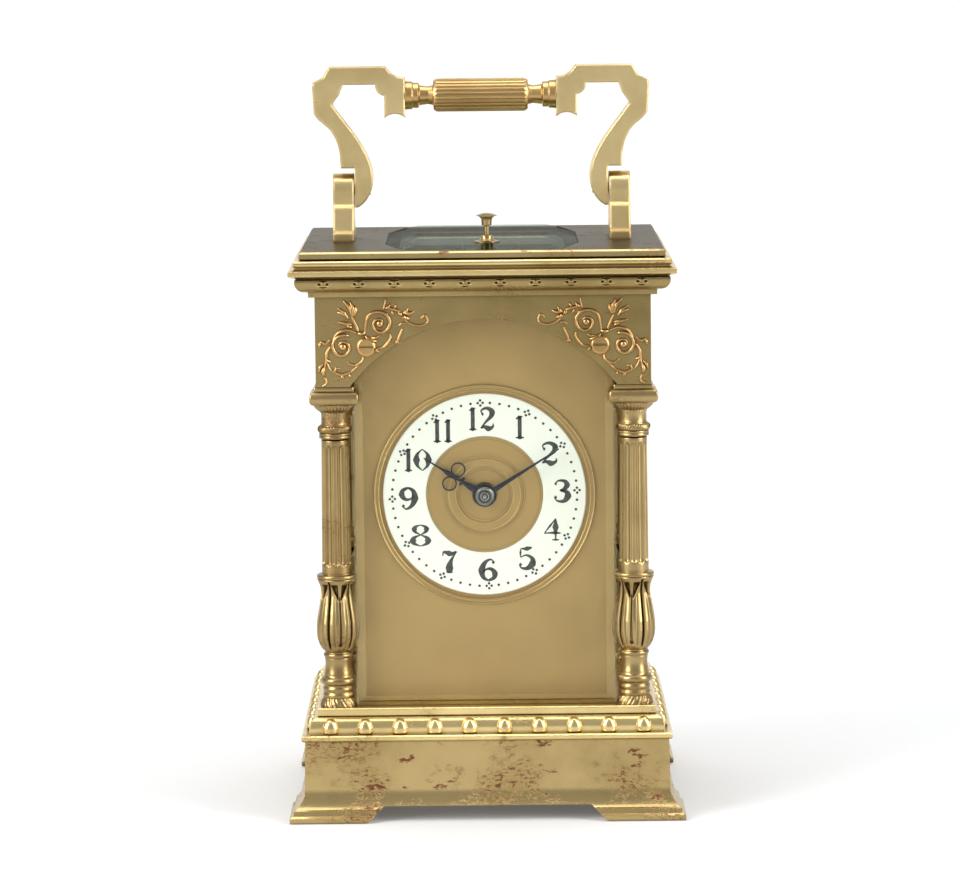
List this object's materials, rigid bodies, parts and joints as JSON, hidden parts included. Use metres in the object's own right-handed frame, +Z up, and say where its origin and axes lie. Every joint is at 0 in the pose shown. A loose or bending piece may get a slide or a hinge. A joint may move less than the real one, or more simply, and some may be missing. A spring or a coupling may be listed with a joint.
{
  "type": "carriage clock",
  "caption": "Brass repeating carriage clock: glazed case with corner columns, arched front, annular enamel dial, folding handle, repeat button and hinged back door.",
  "frame": {"origin": "middle of the footprint, on the surface that the clock stands on", "axes": "+Z up, dial towards -Y, +X to the viewer's right"},
  "size_m": [0.1012, 0.089, 0.1906],
  "materials": {
    "polished_brass": "polished, worn, with brown tarnish in the hollows",
    "matte_gilt": "fine matte gilding",
    "red_gilt": "old reddish gilding",
    "satin_brass": "satin, grained",
    "bevelled_glass": "clear, polished bevels",
    "enamel": "glossy ivory vitreous enamel with dark numerals",
    "blued_steel": "heat blued",
    "bright_steel": "polished steel"
  },
  "bodies": {
    "case": {"base_moulding": "polished_brass", "button_collar": "red_gilt", "chapter_ring": "enamel", "column_front_left": "polished_brass", "column_front_right": "polished_brass", "column_rear_left": "polished_brass", "column_rear_right": "polished_brass", "cornice": "polished_brass", "dial_centre": "matte_gilt", "dial_mask": "matte_gilt", "door_hinge_pins": "bright_steel", "frieze_moulding": "polished_brass", "front_arch_plate": "polished_brass", "front_glass": "bevelled_glass", "gong": "blued_steel", "gong_block": "bright_steel", "handle_stalk_left": "polished_brass", "handle_stalk_right": "polished_brass", "movement_back_plate": "satin_brass", "movement_front_plate": "satin_brass", "movement_pillars": "satin_brass", "platform": "satin_brass", "platform_cocks": "satin_brass", "plinth": "polished_brass", "rear_arch_plate": "polished_brass", "side_arch_plates": "polished_brass", "side_glasses": "bevelled_glass", "sill_plate": "polished_brass", "spandrel_mounts": "red_gilt", "spandrel_screws": "bright_steel", "tie_rods": "bright_steel", "top_glass": "bevelled_glass", "top_plate": "polished_brass"},
    "handle": {"handle_arm_left": "polished_brass", "handle_arm_right": "polished_brass", "handle_grip": "red_gilt", "handle_rod": "bright_steel", "handle_pivot_pins": "bright_steel"},
    "button": {"repeat_button": "polished_brass"},
    "repeat_crank": {"repeat_lever": "bright_steel"},
    "door": {"door_frame": "polished_brass", "door_glass": "bevelled_glass", "door_knob": "polished_brass"},
    "minute_arbor": {"centre_arbor": "satin_brass", "minute_hand": "blued_steel", "hand_collet": "bright_steel"},
    "hour_pipe": {"hour_wheel": "satin_brass", "hour_hand": "blued_steel"},
    "minute_wheel_body": {"minute_wheel": "satin_brass"},
    "second_arbor": {"second_wheel": "satin_brass"},
    "going_spring": {"going_barrel": "satin_brass"},
    "third_arbor": {"third_wheel": "satin_brass"},
    "contrate_arbor": {"contrate_wheel": "satin_brass"},
    "escape_arbor": {"escape_wheel": "satin_brass"},
    "lever_body": {"pallet_lever": "bright_steel"},
    "balance": {"balance_wheel": "satin_brass", "balance_spring": "bright_steel"},
    "strike_spring": {"strike_barrel": "satin_brass"},
    "strike_arbor": {"strike_wheel": "satin_brass"},
    "hammer_body": {"hammer": "bright_steel"}
  },
  "joints": [
    {"name": "handle_fold", "type": "hinge", "parent": "case", "child": "handle", "pos_m": [0, 0, 0.1585], "axis": [1, 0, 0], "range_deg": [-90, 80]},
    {"name": "button_press", "type": "slide", "parent": "case", "child": "button", "axis": [0, 0, -1], "range_m": [0, 0.002], "stiffness_N_per_m": 300},
    {"name": "repeat_crank_rock", "type": "hinge", "parent": "case", "child": "repeat_crank", "pos_m": [-0.012, 0, 0.114], "axis": [0, 1, 0], "range_deg": [0, 10.6]},
    {"name": "door_swing", "type": "hinge", "parent": "case", "child": "door", "pos_m": [-0.0324, 0.03605, 0], "axis": [0, 0, 1], "range_deg": [0, 90]},
    {"name": "hands_turn", "type": "hinge", "parent": "case", "child": "minute_arbor", "pos_m": [0, 0, 0.082], "axis": [0, 1, 0], "continuous": true},
    {"name": "hour_turn", "type": "hinge", "parent": "case", "child": "hour_pipe", "pos_m": [0, 0, 0.082], "axis": [0, 1, 0], "continuous": true},
    {"name": "minute_wheel_turn", "type": "hinge", "parent": "case", "child": "minute_wheel_body", "pos_m": [0.00617, 0, 0.07465], "axis": [0, 1, 0], "continuous": true},
    {"name": "second_wheel_turn", "type": "hinge", "parent": "case", "child": "second_arbor", "pos_m": [0.01204, 0, 0.06705], "axis": [0, 1, 0], "continuous": true},
    {"name": "going_barrel_turn", "type": "hinge", "parent": "case", "child": "going_spring", "pos_m": [0.016, 0, 0.05], "axis": [0, 1, 0], "continuous": true},
    {"name": "third_wheel_turn", "type": "hinge", "parent": "case", "child": "third_arbor", "pos_m": [-0.009, 0, 0.09759], "axis": [0, 1, 0], "continuous": true},
    {"name": "contrate_wheel_turn", "type": "hinge", "parent": "case", "child": "contrate_arbor", "pos_m": [0, 0, 0.11201], "axis": [0, 1, 0], "continuous": true},
    {"name": "escape_wheel_turn", "type": "hinge", "parent": "case", "child": "escape_arbor", "pos_m": [0, 0.0082, 0.12], "axis": [0, 0, 1], "continuous": true},
    {"name": "lever_rock", "type": "hinge", "parent": "case", "child": "lever_body", "pos_m": [0, 0.0022, 0.12], "axis": [0, 0, 1], "range_deg": [-6, 6]},
    {"name": "balance_swing", "type": "hinge", "parent": "case", "child": "balance", "pos_m": [0, -0.0048, 0.12], "axis": [0, 0, 1], "range_deg": [-130, 130], "stiffness_Nm_per_rad": 0.000001},
    {"name": "strike_barrel_turn", "type": "hinge", "parent": "case", "child": "strike_spring", "pos_m": [-0.016, 0, 0.05], "axis": [0, 1, 0], "continuous": true},
    {"name": "strike_wheel_turn", "type": "hinge", "parent": "case", "child": "strike_arbor", "pos_m": [-0.01204, 0, 0.06705], "axis": [0, 1, 0], "continuous": true},
    {"name": "hammer_lift", "type": "hinge", "parent": "case", "child": "hammer_body", "pos_m": [-0.0255, 0, 0.076], "axis": [0, -1, 0], "range_deg": [0, 14]}
  ],
  "couplings": [
    {"joint": "repeat_crank_rock", "follows": "button_press", "rad_per_m": 91.63},
    {"joint": "hour_turn", "follows": "hands_turn", "ratio": 0.083333},
    {"joint": "minute_wheel_turn", "follows": "hands_turn", "ratio": -0.33333},
    {"joint": "second_wheel_turn", "follows": "hands_turn", "ratio": -0.2},
    {"joint": "going_barrel_turn", "follows": "hands_turn", "ratio": 0.033333},
    {"joint": "third_wheel_turn", "follows": "hands_turn", "ratio": -8},
    {"joint": "contrate_wheel_turn", "follows": "hands_turn", "ratio": 60},
    {"joint": "escape_wheel_turn", "follows": "hands_turn", "ratio": 450},
    {"joint": "strike_wheel_turn", "follows": "strike_barrel_turn", "ratio": -6}
  ]
}
